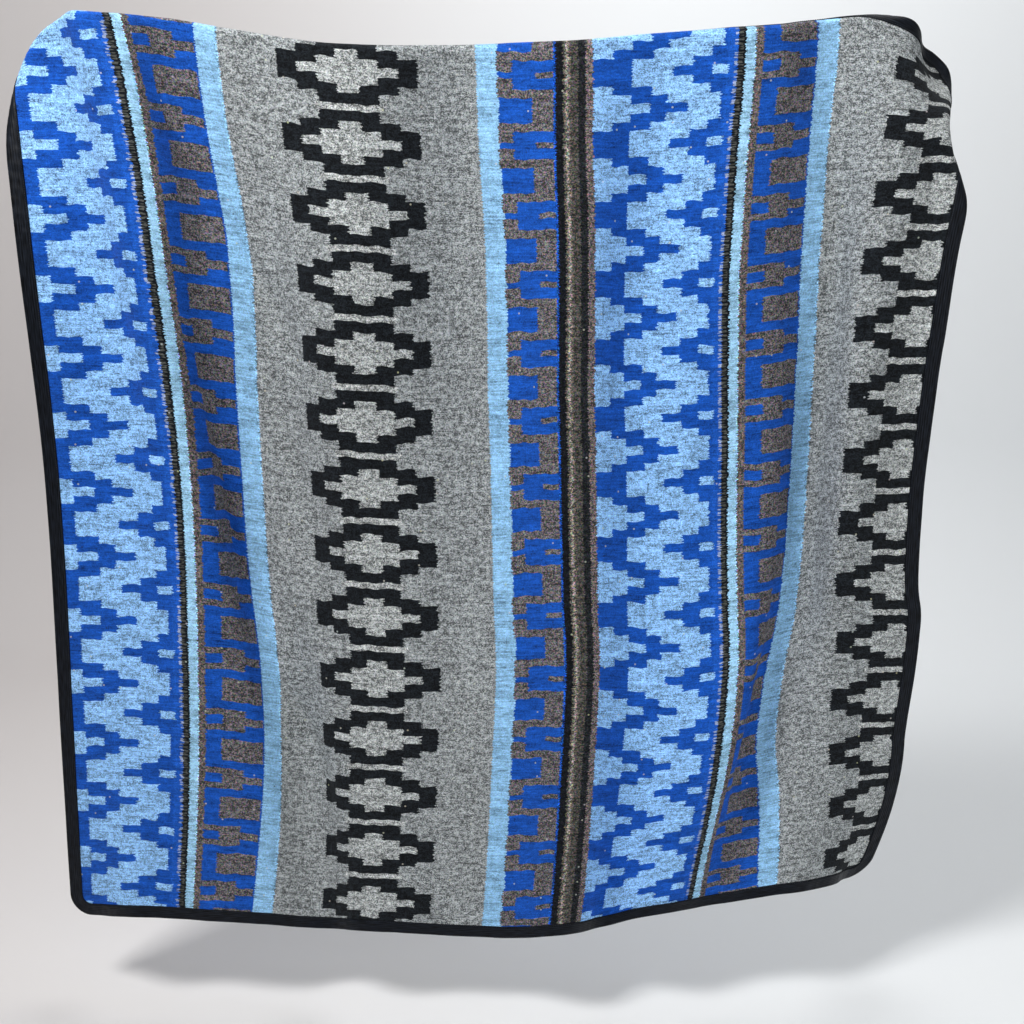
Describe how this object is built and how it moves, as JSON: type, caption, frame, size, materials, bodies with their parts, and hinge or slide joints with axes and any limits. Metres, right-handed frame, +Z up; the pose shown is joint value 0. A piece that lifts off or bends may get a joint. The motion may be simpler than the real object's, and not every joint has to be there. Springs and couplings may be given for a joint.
{
  "type": "mexican blanket",
  "caption": "Large striped woven blanket with a bound edge, hanging from its top edge in soft vertical folds, with its top corners turned and curled.",
  "frame": {"origin": "top of the fold along the top edge, at the middle of the spread cloth", "axes": "+X to the right as seen from the front, +Y away from the viewer, +Z up"},
  "size_m": [1.7237, 0.214, 1.7802],
  "materials": {
    "woven_cloth": "soft matt woven cloth of brushed yarn",
    "binding_tape": "satin ribbed tape"
  },
  "bodies": {
    "root": {"blanket": "woven_cloth", "edge_binding": "binding_tape"}
  },
  "joints": []
}
